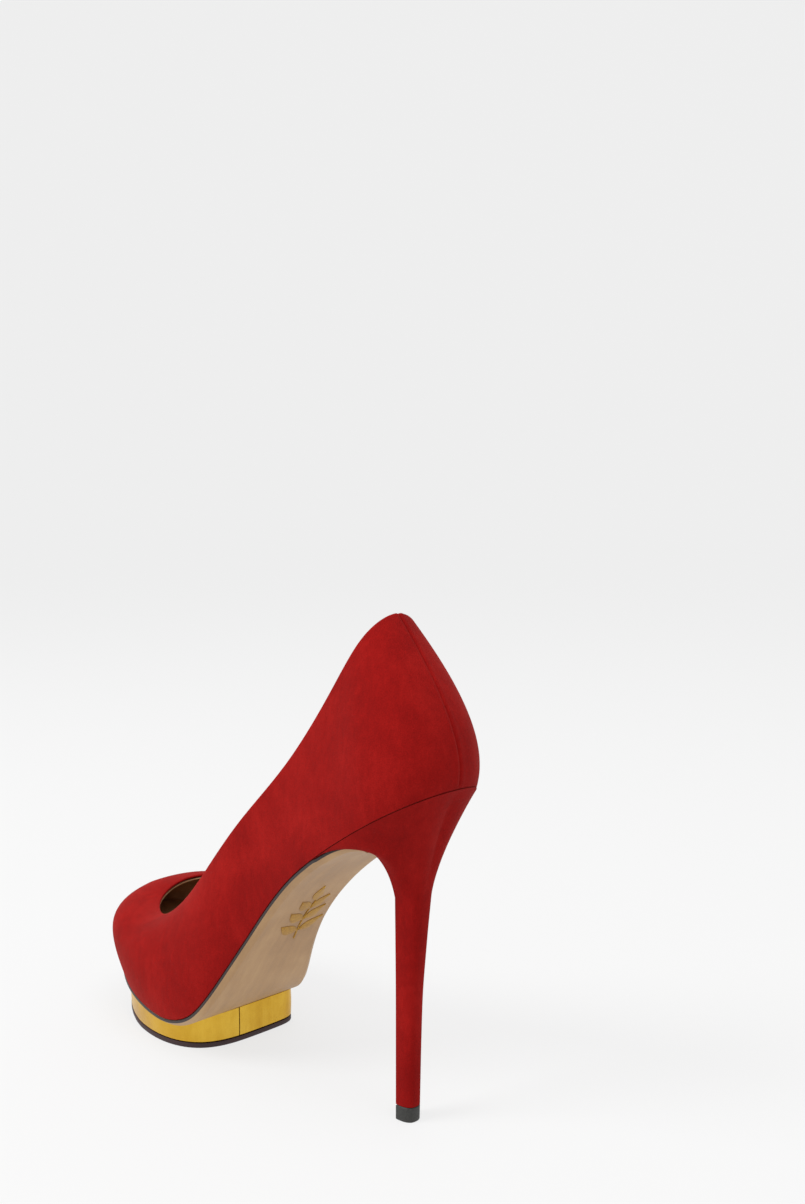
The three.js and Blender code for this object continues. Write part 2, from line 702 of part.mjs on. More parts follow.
// A strip of leather round the core; its ends meet at the rear with a fine seam
function platformWrap() {
  const halfGap = 0.012;
  const first = WRAP_SEAM + halfGap;
  return loft(series(first, first + ISLAND.length - 2 * halfGap, ISLAND.length * 3).map((station) => {
    const outer = inset(ISLAND, station, 0);
    const inner = inset(ISLAND, station, WRAP_THICKNESS);
    return [
      vector(...outer, underSoleAt(outer[1])), vector(...inner, underSoleAt(inner[1])),
      vector(...inner, wrapBase(inner[1])), vector(...outer, wrapBase(outer[1])),
    ];
  }));
}

// Raised emblem on the waist of the sole
function soleOrnament() {
  const { centre, from, to, halfWidth, thickness } = ORNAMENT;
  const top = (arc) => soleTop(arc) - SOLE_THICKNESS - GAP;
  return loft(series(0, 1, 10).map((share) => {
    const arc = THREE.MathUtils.lerp(from, to, share);
    const half = Math.max(halfWidth * Math.sin(Math.PI * share), 1);
    const point = (x, rise) => bend(x, arc, rise);
    return [
      point(centre + half, top(arc)), point(centre - half, top(arc)),
      point(centre - half, top(arc) - thickness), point(centre + half, top(arc) - thickness),
    ];
  }));
}

// ---- assembly -------------------------------------------------------------------------

const materials = {
  suede: { color: 0x9e1b1e, roughness: 0.95, metalness: 0 },
  lining: { color: 0x9a7350, roughness: 0.6, metalness: 0 },
  stiffener: { color: 0xcfc8b8, roughness: 0.8, metalness: 0 },
  board: { color: 0xb59a74, roughness: 0.85, metalness: 0 },
  cork: { color: 0xb98a5a, roughness: 0.9, metalness: 0 },
  foam: { color: 0xe6dcc4, roughness: 0.9, metalness: 0 },
  steel: { color: 0x8d9094, roughness: 0.35, metalness: 1 },
  soleLeather: { color: 0xb99a70, roughness: 0.45, metalness: 0 },
  gold: { color: 0xc9a227, roughness: 0.35, metalness: 0.9 },
  outsole: { color: 0x3a1518, roughness: 0.6, metalness: 0 },
  plastic: { color: 0xd9d4c8, roughness: 0.5, metalness: 0 },
  rubber: { color: 0x1c1c1b, roughness: 0.6, metalness: 0 },
};

const shoe = new THREE.Group();

function add(name, geometry, finish) {
  const mesh = new THREE.Mesh(geometry, new THREE.MeshStandardMaterial(materials[finish]));
  mesh.name = name;
  shoe.add(mesh);
}

add("suede_upper", suedeUpper(), "suede");
add("upper_lining", upperLining(), "lining");
add("toe_puff", stiffener(PUFF), "stiffener");
add("heel_counter", stiffener(COUNTER), "stiffener");
add("insole_board", insoleBoard(), "board");
add("concealed_platform", hiddenPlatform(), "cork");
add("footbed_foam", footbedFoam(), "foam");
add("sock_lining", sockLining(), "lining");
add("bottom_filler", bottomFiller(), "cork");
add("steel_shank", steelShank(), "steel");
add("shank_rivet_front", standOn(rivetShape, SHANK.centre, RIVET_ARCS[0]), "steel");
add("shank_rivet_rear", standOn(rivetShape, SHANK.centre, RIVET_ARCS[1]), "steel");
add("main_sole", mainSole(), "soleLeather");
add("sole_ornament", soleOrnament(), "gold");
add("platform_core", platformCore(), "cork");
add("platform_wrap", platformWrap(), "gold");
add("platform_outsole", platformOutsole(), "outsole");
add("heel_block", heelBlock(), "plastic");
add("heel_cover", heelCover(), "suede");
add("heel_stem_tube", heelStemTube(), "steel");
add("heel_screw", standOn(screwShape, 0, SCREW_ARC), "steel");
NAIL_PLACES.forEach(([x, arc], i) => add(`heel_nail_${i + 1}`, standOn(nailShape, x, arc), "steel"));
add("top_lift", topLift(), "rubber");
add("top_lift_pin", topLiftPin(), "steel");

// The origin is on the floor, under the middle of the shoe's box
const box = new THREE.Box3().setFromObject(shoe);
const middle = box.getCenter(new THREE.Vector3());
shoe.position.set(-middle.x, -middle.y, -box.min.z);

export default shoe;
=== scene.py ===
import math

import bmesh
import bpy
import numpy as np
from mathutils import Matrix, Vector


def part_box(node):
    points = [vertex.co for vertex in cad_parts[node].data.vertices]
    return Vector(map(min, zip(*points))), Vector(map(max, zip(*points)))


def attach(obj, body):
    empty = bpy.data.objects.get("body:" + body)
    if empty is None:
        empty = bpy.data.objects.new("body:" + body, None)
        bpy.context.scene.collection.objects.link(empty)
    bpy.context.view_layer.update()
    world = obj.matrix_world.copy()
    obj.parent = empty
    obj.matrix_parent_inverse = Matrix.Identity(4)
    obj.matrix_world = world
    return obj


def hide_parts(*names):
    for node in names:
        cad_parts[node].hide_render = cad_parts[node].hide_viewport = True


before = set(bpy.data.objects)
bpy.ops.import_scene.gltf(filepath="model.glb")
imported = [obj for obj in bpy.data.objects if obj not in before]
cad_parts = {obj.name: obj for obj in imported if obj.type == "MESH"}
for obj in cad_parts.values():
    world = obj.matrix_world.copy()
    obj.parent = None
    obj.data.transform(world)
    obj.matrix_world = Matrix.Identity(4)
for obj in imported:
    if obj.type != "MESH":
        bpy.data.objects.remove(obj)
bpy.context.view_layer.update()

# ---- shape of the shoe, in millimetres, as in the CAD ----------------------------------
# x runs to the outer side, y from toe to heel, z up. Places on the shoe's bottom are
# (x, arc, rise): arc along the bottom line from the toe, rise square to it.

MM = 0.001
GAP = 0.3
LAST_LENGTH = 246
BALL_HEIGHT = 14.9
BOTTOM_STEP = 0.5
BOTTOM_SLOPES = [  # arc, slope in degrees
    [0, -11], [30, -8], [60, -3], [78, 18], [95, 49.5], [112, 56.3],
    [135, 54.4], [160, 46.2], [185, 35], [210, 31], [246, 29],
]
STATIONS = 20
FEATHER = [  # x, arc of the line where upper meets sole, a point for each station
    [0, 248], [13, 246], [24.5, 230], [24, 202], [22.5, 168],
    [22.5, 135], [30, 100], [34, 68], [27.5, 31], [10.5, 3.5],
    [-4.5, -3.5], [-20.5, 4], [-31.5, 32], [-35, 70], [-22.5, 100],
    [-13, 135], [-17, 168], [-23, 202], [-24.5, 230], [-13, 246],
]
TOPLINE = [  # x, y, z of the top edge, a point for each station
    [0, 173, 187.3], [8.5, 172, 185], [16, 167.5, 177], [19, 156.5, 157], [20.5, 134.5, 128],
    [23.3, 110, 105], [25, 92, 84], [24, 75, 65], [18.5, 48, 48], [5, 24, 47.5],
    [-6, 19.5, 52.5], [-17, 24, 56.5], [-26, 46, 58.5], [-27.5, 73, 69], [-26, 92, 86],
    [-25, 110, 107], [-22.5, 134, 130], [-20, 156, 158], [-16, 167.5, 177], [-8.5, 172, 184.5],
]
WALL_SHAPE = [  # stations from the heel, then reach and bulge of the low and the high handle
    [0, 20, 14.5, 17, 5.5], [1, 20, 13.5, 17, 5.5], [2, 18, 7.5, 16, 3.5], [3, 15, 2.5, 14, 1],
    [5, 13, 2.3, 12, 0.8], [6, 15, 3.5, 14, 2.4], [7, 16, 6.5, 14, 5], [8, 21, 14.5, 9, 12.3],
    [9, 29, 25.5, 0.5, 18], [10, 31, 28, -1, 20],
]
SUEDE, LINING, LINING_GAP, STIFFENER = 1.1, 0.7, 0.45, 0.8
LASTING_MARGIN = 9
SOCK_BASE, SOCK = 6.5, 0.8
HIDDEN_PLATFORM, PLATFORM_TAPER = 9, (88, 122)
SOLE, SOLE_EDGE, SOLE_BEVEL, SOLE_END, SOLE_TUCK = 2.8, 1.1, 2.6, 209, 0.9
ISLAND = [  # x, y of the platform's outline
    [-4, 81.5], [9, 81], [20, 76], [26.3, 63.5], [26.3, 45], [20.5, 24], [9.5, 11],
    [-4, 7], [-17, 11], [-26.5, 27], [-30, 50], [-30.5, 70], [-28, 81], [-17, 81.5],
]
OUTSOLE, WRAP, WRAP_SEAM = 2.2, 0.9, 0.55
ROCKER_START, ROCKER_LENGTH, ROCKER_RISE = 42, 38, 10
HEEL_FRONT, HEEL_CORE_FRONT, HEEL_SKIN = 188, 206, 0.6
NECK, LIFT = 84, 5.6
STEM = [  # height, front, back, half width
    [0, 175.3, 182, 4], [44, 175.8, 183.2, 4.5], [68, 176.4, 185.2, 5.3],
    [NECK, 177.2, 186.7, 6.3],
]
FLARE = [  # share from lip to back, direction, reach, reach at the neck, widening, narrowing
    [0, 36, 22, 24, 2.3, 0], [0.12, 5, 17, 20, 2, 0.08], [0.42, -70, 11, 13, 1.15, 0.5],
    [0.71, -110, 12, 8, 1.05, 0.62], [1, -132, 13, 8, 1.05, 0.62],
]
LIP_SHARE = 0.52
STEM_ROUNDNESS, NECK_LEAN = 0.75, 0.1
AT_BACK = 0.9999
TUCK_RUN = 6

# In stations, and in shares of the wall's height.
COUNTER_END, PUFF_START, STIFFENER_STEP = 8 / 3, 8, 1 / 3
STIFFENER_TOP = (0.78, 0.93)
NUDGE = 0.02
HALVINGS = 30

lift_low, lift_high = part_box("top_lift")
SHIFT = np.array([(lift_low.x + lift_high.x) / 2 / MM, lift_low.y / MM - STEM[0][1], 0.0])


def look_up(table, key, column=1):
    """Value in a column at a place in the first one, along a curve that never overshoots."""
    rows = np.array(table, float)
    places, values = rows[:, 0], rows[:, column]
    steps = np.diff(places)
    slopes = np.diff(values) / steps
    inner = slopes[:-1] * slopes[1:]
    total = slopes[:-1] + slopes[1:]
    middle = np.where(inner > 0, 2 * inner / np.where(inner > 0, total, 1), 0)
    tangents = np.concatenate([slopes[:1], middle, slopes[-1:]])
    key = np.asarray(key, float)
    i = np.clip(np.searchsorted(places, key, side="left") - 1, 0, len(steps) - 1)
    t = np.clip((key - places[i]) / steps[i], 0, 1)
    start = values[i] * (1 + 2 * t) * (1 - t) ** 2 + tangents[i] * steps[i] * t * (1 - t) ** 2
    end = values[i + 1] * t * t * (3 - 2 * t) - tangents[i + 1] * steps[i] * t * t * (1 - t)
    return start + end


def on_loop(controls, station):
    """Point on a closed cubic B-spline whose control points are one station apart."""
    points = np.array(controls, float)
    count = len(points)
    station = np.mod(np.asarray(station, float), count)
    i = np.floor(station).astype(int)
    t = station - i
    weights = [
        (1 - t) ** 3, 3 * t ** 3 - 6 * t * t + 4, -3 * t ** 3 + 3 * t * t + 3 * t + 1, t ** 3]
    return sum(w[..., None] * points[(i + k - 1) % count] / 6 for k, w in enumerate(weights))


def loop_normal(controls, station):
    station = np.asarray(station)
    run = on_loop(controls, station + NUDGE) - on_loop(controls, station - NUDGE)
    normal = np.stack([-run[..., 1], run[..., 0]], -1)
    return normal / np.linalg.norm(normal, axis=-1, keepdims=True)


def inset(controls, station, distance):
    """Points of a loop, moved inwards square to it."""
    distance = np.asarray(distance, float)[..., None]
    return on_loop(controls, station) - loop_normal(controls, station) * distance


def smooth_step(value, low, high):
    t = np.clip((np.asarray(value, float) - low) / (high - low), 0, 1)
    return t * t * (3 - 2 * t)


def bezier(start, leaving, arriving, end, t):
    return (start * (1 - t) ** 3 + 3 * leaving * t * (1 - t) ** 2
            + 3 * arriving * t * t * (1 - t) + end * t ** 3)


def trace_bottom():
    """Arc, y, z and angle along the shoe's bottom line, summed up from its slopes."""
    arcs = np.arange(0, LAST_LENGTH + BOTTOM_STEP / 2, BOTTOM_STEP)
    angles = np.radians(look_up(BOTTOM_SLOPES, arcs))
    middle = (angles[1:] + angles[:-1]) / 2
    y = np.concatenate([[0], np.cumsum(np.cos(middle))]) * BOTTOM_STEP
    z = np.concatenate([[0], np.cumsum(np.sin(middle))]) * BOTTOM_STEP
    return arcs, y, z - z.min() + BALL_HEIGHT, angles


ARCS, LINE_Y, LINE_Z, LINE_ANGLE = trace_bottom()


def bottom_at(arc):
    inside_arc = np.clip(arc, 0, LAST_LENGTH)
    y, z, angle = [np.interp(inside_arc, ARCS, line) for line in (LINE_Y, LINE_Z, LINE_ANGLE)]
    beyond = arc - inside_arc
    return y + beyond * np.cos(angle), z + beyond * np.sin(angle), angle


def bend(x, arc, rise):
    """Points in space from places on the shoe's bottom."""
    x, arc, rise = np.broadcast_arrays(np.asarray(x, float), arc, rise)
    y, z, angle = bottom_at(arc)
    return np.stack([x, y - rise * np.sin(angle), z + rise * np.cos(angle)], -1)


def arc_below(points):
    """Arc of the place on the bottom line that each point stands on."""
    low, high = np.zeros(points.shape[:-1]), np.full(points.shape[:-1], float(LAST_LENGTH))
    for _ in range(HALVINGS):
        middle = (low + high) / 2
        y, z, angle = bottom_at(middle)
        ahead = (points[..., 1] - y) * np.cos(angle) + (points[..., 2] - z) * np.sin(angle) > 0
        low, high = np.where(ahead, middle, low), np.where(ahead, high, middle)
    return low


def rise_of(points):
    y, z, angle = bottom_at(arc_below(points))
    return (points[..., 2] - z) * np.cos(angle) - (points[..., 1] - y) * np.sin(angle)


def station_at(arc):
    """Station on the outer side where the feather line passes an arc."""
    low, high = 1.0, STATIONS / 2 - 1
    for _ in range(HALVINGS):
        middle = (low + high) / 2
        low, high = (middle, high) if on_loop(FEATHER, middle)[1] > arc else (low, middle)
    return low


def forepart_lift(arc):
    return HIDDEN_PLATFORM * (1 - smooth_step(arc, *PLATFORM_TAPER))


# ---- walls of the upper ----------------------------------------------------------------

def from_heel(station):
    wrapped = np.mod(station, STATIONS)
    return np.minimum(wrapped, STATIONS - wrapped)


def wall(station, level):
    """Outer face of the upper, on a rib from feather line to top line at each station."""
    foot = bend(*on_loop(FEATHER, station).T, 0)
    head = on_loop(TOPLINE, station)
    low_reach, low_bulge, high_reach, high_bulge = [
        look_up(WALL_SHAPE, from_heel(station), i)[:, None] for i in (1, 2, 3, 4)]
    chord = head - foot
    chord /= np.linalg.norm(chord, axis=-1, keepdims=True)
    outwards = np.concatenate([loop_normal(FEATHER, station), np.zeros((len(station), 1))], -1)
    low = foot + chord * low_reach + outwards * low_bulge
    high = head - chord * high_reach + outwards * high_bulge
    t = np.asarray(level)[None, :, None]
    foot, low, high, head = [p[:, None, :] for p in (foot, low, high, head)]
    return bezier(foot, low, high, head, t)


def wall_inwards(station, level):
    """Unit normals of the wall, pointing into the shoe."""
    along = wall(station + NUDGE, level) - wall(station - NUDGE, level)
    up = wall(station, np.minimum(level + NUDGE, 1)) - wall(station, np.maximum(level - NUDGE, 0))
    normal = np.cross(along, up)
    return normal / np.linalg.norm(normal, axis=-1, keepdims=True)


def stiffened(station, level):
    """1 over a stiffener and 0 away from both, with sloping ends."""
    place = from_heel(station)[:, None]
    counter = 1 - np.clip((place - COUNTER_END) / STIFFENER_STEP - 1, 0, 2) / 2
    puff = 1 - np.clip((PUFF_START - place) / STIFFENER_STEP - 1, 0, 2) / 2
    return np.maximum(counter, puff) * (1 - smooth_step(level, *STIFFENER_TOP))[None, :]


def lining_depth(station, level):
    return SUEDE + LINING_GAP + (STIFFENER + GAP) * stiffened(station, level)


FOLD = np.radians(np.linspace(0, 180, 9))[None, 1:-1, None]  # round the turned top edge


def wall_shell(station, level, base, thickness, depth):
    """Closed section at each station: margin, outer face, turned edge, inner face, margin."""
    inwards = wall_inwards(station, level)
    outside = wall(station, level) + inwards * depth[..., None]
    inside = outside + inwards * thickness

    def on_bottom(distance, rise):
        x, arc = inset(FEATHER, station, distance).T
        return bend(x, arc, rise)[:, None, :]

    outside[:, :1] = on_bottom(depth[:, 0], base)
    inside[:, :1] = on_bottom(depth[:, 0] + thickness, base + thickness)
    up = outside[:, -1:] - outside[:, -2:-1]
    up /= np.linalg.norm(up, axis=-1, keepdims=True)
    centre = (outside[:, -1:] + inside[:, -1:]) / 2
    half = (outside[:, -1:] - inside[:, -1:]) / 2
    fold = centre + half * np.cos(FOLD) + up * np.sin(FOLD) * thickness / 2
    edge = np.full(len(station), float(LASTING_MARGIN))
    return np.concatenate([
        on_bottom(edge, base), outside, fold, inside[:, ::-1],
        on_bottom(edge, base + thickness)], 1)


# ---- heel ------------------------------------------------------------------------------

def both_sides(shares):
    """Shares out to the back along the outer side and home along the inner side."""
    return [(share, 1) for share in shares] + [(share, -1) for share in shares[-2::-1]]


def stem_point(share, height, side, skin):
    """Point on the D-shaped stem; share runs from its front corner to its back."""
    front, back, half = [look_up(STEM, height, column) for column in (1, 2, 3)]
    turn = share * math.pi / 2
    x = side * (half - skin) * np.maximum(np.cos(turn), 0) ** STEM_ROUNDNESS
    y = front + skin + (back - front - 2 * skin) * np.sin(turn) ** STEM_ROUNDNESS
    x = np.where(share > AT_BACK, 0, x)
    return np.stack(np.broadcast_arrays(x, y, height + 0.0 * x), -1)


def heel_rib(share, side, front_arc, skin, t):
    """Line from the seat of the heel down to the stem's neck."""
    x, arc = inset(FEATHER, (1 - share) * station_at(front_arc) * side, skin)
    core_share = 1 - (1 - share) * station_at(front_arc) / station_at(HEEL_FRONT)
    direction, reach, neck_reach, widening, narrowing = [
        float(look_up(FLARE, core_share, column)) for column in (1, 2, 3, 4, 5)]
    seat = bend(0 if share > AT_BACK else x, arc, -GAP)
    neck = stem_point(np.array(share), np.array(float(NECK)), side, skin)
    angle = math.radians(direction)
    leaving = seat + [-seat[0] * narrowing, reach * math.cos(angle), reach * math.sin(angle)]
    arriving = neck + [neck[0] * (widening - 1), neck_reach * NECK_LEAN, neck_reach]
    return bezier(seat, leaving, arriving, neck, np.asarray(t, float)[:, None])


def heel_columns(front_arc, skin, base):
    """Columns of points from seat to base, from one front corner round to the other."""
    rings = np.linspace(0, 1, 44)
    heights = np.linspace(NECK, base, 26)[1:]
    shares = np.concatenate([[0, 0.004], np.linspace(0.02, 1, 30)])
    columns = []
    for share, side in both_sides(shares):
        rib = heel_rib(share, side, front_arc, skin, rings)
        stem = stem_point(np.full(len(heights), share), heights, side, skin)
        columns.append(np.concatenate([rib, stem]))
    return np.array(columns)


# ---- sole ------------------------------------------------------------------------------

lip_shares = np.linspace(0, LIP_SHARE, 40)
heel_lips = [heel_rib(0, side, HEEL_FRONT, 0, lip_shares) for side in (1, -1)]
lip_lines = [(arc_below(lip), rise_of(lip), lip) for lip in heel_lips]


def sole_top(arc):
    """Rise of the sole's upper face, which dips under the lips of the heel cover."""
    rises = [np.interp(arc, arcs, rise, left=0) for arcs, rise, _ in lip_lines]
    return np.minimum(0, np.minimum(*rises)) - GAP


def sole_tuck(arc):
    """How far the sole's edge steps inside the feather line along the heel's lip."""
    arcs, _, lip = lip_lines[0]
    tuck = SOLE_TUCK * smooth_step(arc, HEEL_FRONT, HEEL_FRONT + TUCK_RUN)
    return np.where(arc < arcs[0], 0, lip[0, 0] - np.interp(arc, arcs, lip[:, 0]) + tuck)


def sole_loop(station, extra, drop):
    arc = on_loop(FEATHER, station)[:, 1]
    x, arc = inset(FEATHER, station, sole_tuck(arc) + extra).T
    return bend(x, arc, sole_top(arc) - drop)


UNDER = bend(0, ARCS, -GAP - SOLE - GAP)


def under_sole_at(y):
    return np.interp(y, UNDER[:, 1], UNDER[:, 2])


def floor_at(y):
    """Height of the tread, which curves up from the floor towards the toe."""
    return ROCKER_RISE * (np.maximum(0, ROCKER_START - y) / ROCKER_LENGTH) ** 2


# ---- meshes ----------------------------------------------------------------------------

TINY_EDGE = 1e-7


def build(name, parts, replaced, sharp, weld=0.005):
    """One object from several (vertices in mm, faces, material number of each face)."""
    mesh = bpy.data.meshes.new(name)
    points, faces, kinds = [], [], []
    for vertices, part_faces, part_kinds in parts:
        offset = sum(len(p) for p in points)
        points.append((np.asarray(vertices) + SHIFT) * MM)
        faces += [[i + offset for i in face] for face in part_faces]
        kinds += part_kinds
    mesh.from_pydata(np.concatenate(points).tolist(), [], faces)
    mesh.polygons.foreach_set("material_index", kinds)
    shape = bmesh.new()
    shape.from_mesh(mesh)
    bmesh.ops.remove_doubles(shape, verts=shape.verts, dist=weld * MM)
    bmesh.ops.dissolve_degenerate(shape, edges=shape.edges, dist=TINY_EDGE)
    bmesh.ops.recalc_face_normals(shape, faces=shape.faces)
    shape.to_mesh(mesh)
    shape.free()
    mesh.shade_smooth()
    mesh.set_sharp_from_angle(angle=math.radians(sharp))
    piece = bpy.data.objects.new(name, mesh)
    bpy.context.scene.collection.objects.link(piece)
    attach(piece, "root")
    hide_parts(*replaced)
    return piece


def face_of(corners):
    """Corner numbers with repeats left out; fewer than three make no face."""
    return list(dict.fromkeys(int(corner) for corner in corners))


def lofted(sections, ring=False):
    """Solid through closed sections, which either meet in a ring or are closed at both ends."""
    grid = np.asarray(sections, float)
    rows, count = grid.shape[:2]
    index = np.arange(rows * count).reshape(rows, count)
    here = index if ring else index[:-1]
    there = np.roll(index, -1, 0) if ring else index[1:]
    quads = np.stack([here, np.roll(here, -1, 1), np.roll(there, -1, 1), there], -1)
    faces = quads.reshape(-1, 4).tolist()
    for row in [] if ring else [0, rows - 1]:
        for i in range(count // 2):
            face = face_of(index[row, k] for k in (i, i + 1, count - 2 - i, count - 1 - i))
            if len(face) > 2:
                faces.append(face)
    return grid.reshape(-1, 3), faces, [0] * len(faces)


def slab(loops, symmetric, kinds=None):
    """Solid through loops of points, whose first and last loop are closed by rungs across.

    Rungs join point i to point -i of a symmetric loop, which starts on its own middle line,
    and to point -1 - i of any other. kinds holds the material number of the first end, of
    each band and of the last end.
    """
    grid = np.asarray(loops, float)
    rows, count = grid.shape[:2]
    kinds = kinds or [0] * (rows + 1)
    index = np.arange(rows * count).reshape(rows, count)
    faces, numbers = [], []
    for row in range(rows - 1):
        for i in range(count):
            j = (i + 1) % count
            corners = index[row, i], index[row, j], index[row + 1, j], index[row + 1, i]
            faces.append(face_of(corners))
            numbers.append(kinds[row + 1])
    last = count if symmetric else count - 1
    rungs = [(i, (last - i) % count) for i in range(count // 2 + 1)]
    for row, number in ((0, kinds[0]), (rows - 1, kinds[-1])):
        for (a, b), (c, d) in zip(rungs[:-1], rungs[1:]):
            face = face_of(index[row, k] for k in (a, c, d, b))
            if len(face) > 2:
                faces.append(face)
                numbers.append(number)
    return grid.reshape(-1, 3), faces, numbers


# ---- materials -------------------------------------------------------------------------

def srgb(*levels):
    values = [level / 255 for level in levels]
    return [v / 12.92 if v <= 0.04045 else ((v + 0.055) / 1.055) ** 2.4 for v in values] + [1.0]


def grey(level):
    return [level, level, level, 1]


class Surface:
    """A material with short names for the nodes that the finishes below are made of."""
    def __init__(self, name):
        self.material = bpy.data.materials.new(name)
        self.material.use_nodes = True
        self.nodes = self.material.node_tree.nodes
        self.links = self.material.node_tree.links
        self.shader = self.nodes["Principled BSDF"]
        self.place = self.nodes.new("ShaderNodeTexCoord").outputs["Object"]

    def stretched(self, scale):
        node = self.nodes.new("ShaderNodeMapping")
        node.inputs["Scale"].default_value = scale
        self.links.new(self.place, node.inputs["Vector"])
        return node.outputs["Vector"]

    def noise(self, scale, detail, rough, vector=None, distortion=0.0):
        node = self.nodes.new("ShaderNodeTexNoise")
        settings = {"Scale": scale, "Detail": detail, "Roughness": rough, "Distortion": distortion}
        for key, value in settings.items():
            node.inputs[key].default_value = value
        self.links.new(vector or self.place, node.inputs["Vector"])
        return node.outputs["Fac"]

    def cells(self, scale):
        node = self.nodes.new("ShaderNodeTexVoronoi")
        node.inputs["Scale"].default_value = scale
        self.links.new(self.place, node.inputs["Vector"])
        return node.outputs["Distance"]

    def ramp(self, value, stops):
        node = self.nodes.new("ShaderNodeValToRGB")
        ramp = node.color_ramp
        while len(ramp.elements) < len(stops):
            ramp.elements.new(0.5)
        for element, (place, color) in zip(ramp.elements, stops):
            element.position = place
            element.color = color
        self.links.new(value, node.inputs["Fac"])
        return node.outputs["Color"]

    def math(self, kind, a, b):
        node = self.nodes.new("ShaderNodeMath")
        node.operation = kind
        for socket, value in zip(node.inputs, (a, b)):
            if isinstance(value, (int, float)):
                socket.default_value = value
            else:
                self.links.new(value, socket)
        return node.outputs[0]

    def multiplied(self, share, a, b):
        node = self.nodes.new("ShaderNodeMix")
        node.data_type, node.blend_type = "RGBA", "MULTIPLY"
        factor, first, second = (node.inputs[i] for i in (0, 6, 7))  # the colour sockets
        factor.default_value = share
        self.links.new(a, first)
        self.links.new(b, second)
        return node.outputs[2]

    def color(self, value):
        self.links.new(value, self.shader.inputs["Base Color"])

    def rough(self, value, low, high):
        node = self.nodes.new("ShaderNodeMapRange")
        node.inputs["To Min"].default_value = low
        node.inputs["To Max"].default_value = high
        self.links.new(value, node.inputs["Value"])
        self.links.new(node.outputs["Result"], self.shader.inputs["Roughness"])

    def bump(self, height, distance, strength):
        node = self.nodes.new("ShaderNodeBump")
        node.inputs["Distance"].default_value = distance
        node.inputs["Strength"].default_value = strength
        self.links.new(height, node.inputs["Height"])
        self.links.new(node.outputs["Normal"], self.shader.inputs["Normal"])

    def set(self, **values):
        for key, value in values.items():
            self.shader.inputs[key.replace("_", " ")].default_value = value


def suede_material(name, dark, middle, light):
    """Matt nap: broad patches, brushed streaks and fine fibres."""
    s = Surface(name)
    patches = s.noise(34, 4, 0.6, distortion=0.6)
    nap = s.noise(420, 5, 0.7, s.stretched((1, 1, 0.45)))
    fibre = s.noise(3800, 2, 0.6)
    tone = s.math("ADD", s.math("MULTIPLY", patches, 0.62), s.math("MULTIPLY", nap, 0.38))
    base = s.ramp(tone, [(0.36, dark), (0.5, middle), (0.64, light)])
    flecks = s.ramp(fibre, [(0.35, grey(0.72)), (0.65, grey(1.15))])
    s.color(s.multiplied(0.8, base, flecks))
    s.rough(nap, low=0.86, high=1.0)
    height = s.math("ADD", s.math("MULTIPLY", fibre, 0.6), s.math("MULTIPLY", nap, 0.9))
    s.bump(height, distance=0.00022, strength=0.7)
    s.set(Sheen_Weight=0.16, Sheen_Roughness=0.4, Specular_IOR_Level=0.08)
    s.shader.inputs["Sheen Tint"].default_value = srgb(235, 120, 110)
    return s.material


def leather_material(name, dark, middle, light, pore_scale, rough, depth, coat=0.0, metallic=0.0):
    """Smooth leather: patches, marks drawn along the shoe and pores."""
    s = Surface(name)
    patches = s.noise(28, 4, 0.6)
    drag = s.noise(160, 4, 0.65, s.stretched((1.6, 0.25, 0.25)))
    tone = s.math("ADD", s.math("MULTIPLY", patches, 0.6), s.math("MULTIPLY", drag, 0.4))
    pores = s.cells(pore_scale)
    base = s.ramp(tone, [(0.36, dark), (0.5, middle), (0.64, light)])
    shade = s.ramp(pores, [(0.0, grey(0.86)), (0.35, grey(1.0))])
    s.color(s.multiplied(0.5, base, shade))
    s.rough(drag, low=rough - 0.08, high=rough + 0.1)
    s.bump(s.math("ADD", pores, s.math("MULTIPLY", drag, 0.5)), depth, strength=0.6)
    s.set(Coat_Weight=coat, Coat_Roughness=0.3, Metallic=metallic)
    return s.material


def grain_material(name, dark, light, scale, rough, depth, metallic=0.0, stretch=(1, 1, 1)):
    """Two tones in fine speckle, for rubber, cork, board, plastic and metal."""
    s = Surface(name)
    speckle = s.noise(scale, 3, 0.6, s.stretched(stretch))
    patches = s.noise(40, 3, 0.5)
    tone = s.math("ADD", s.math("MULTIPLY", speckle, 0.6), s.math("MULTIPLY", patches, 0.4))
    s.color(s.ramp(tone, [(0.38, dark), (0.62, light)]))
    s.rough(speckle, low=rough - 0.06, high=rough + 0.08)
    s.bump(speckle, depth, strength=0.6)
    s.set(Metallic=metallic)
    return s.material


SUEDE_RED = suede_material("suede_red", srgb(122, 10, 9), srgb(134, 14, 12), srgb(146, 20, 17))
LINING_TAN = leather_material(
    "lining_leather", srgb(128, 92, 60), srgb(150, 110, 74), srgb(168, 128, 90), 1500, 0.6, 0.00012)
SOLE_TAN = leather_material(
    "sole_leather", srgb(156, 120, 80), srgb(170, 133, 91), srgb(182, 147, 104), 1900, 0.5, 0.00008)
EDGE_BLACK = leather_material(
    "edge_dye", srgb(24, 16, 15), srgb(34, 24, 22), srgb(46, 34, 30), 1500, 0.45, 0.00008)
GOLD_LEATHER = leather_material(
    "gold_leather", srgb(190, 142, 30), srgb(208, 162, 42), srgb(222, 180, 60),
    1400, 0.32, 0.0001, coat=0.2, metallic=0.85)
GOLD_FOIL = grain_material(
    "gold_foil", srgb(156, 112, 34), srgb(186, 142, 54), 900, 0.38, 0.00006, metallic=0.8)
OUTSOLE_DARK = grain_material(
    "outsole_rubber", srgb(34, 11, 14), srgb(50, 18, 21), 1500, 0.55, 0.00008)
LIFT_BLACK = grain_material(
    "lift_rubber", srgb(30, 30, 28), srgb(46, 46, 43), 1300, 0.55, 0.0001)
CORK = grain_material("cork", srgb(120, 82, 48), srgb(196, 150, 100), 420, 0.85, 0.0003)
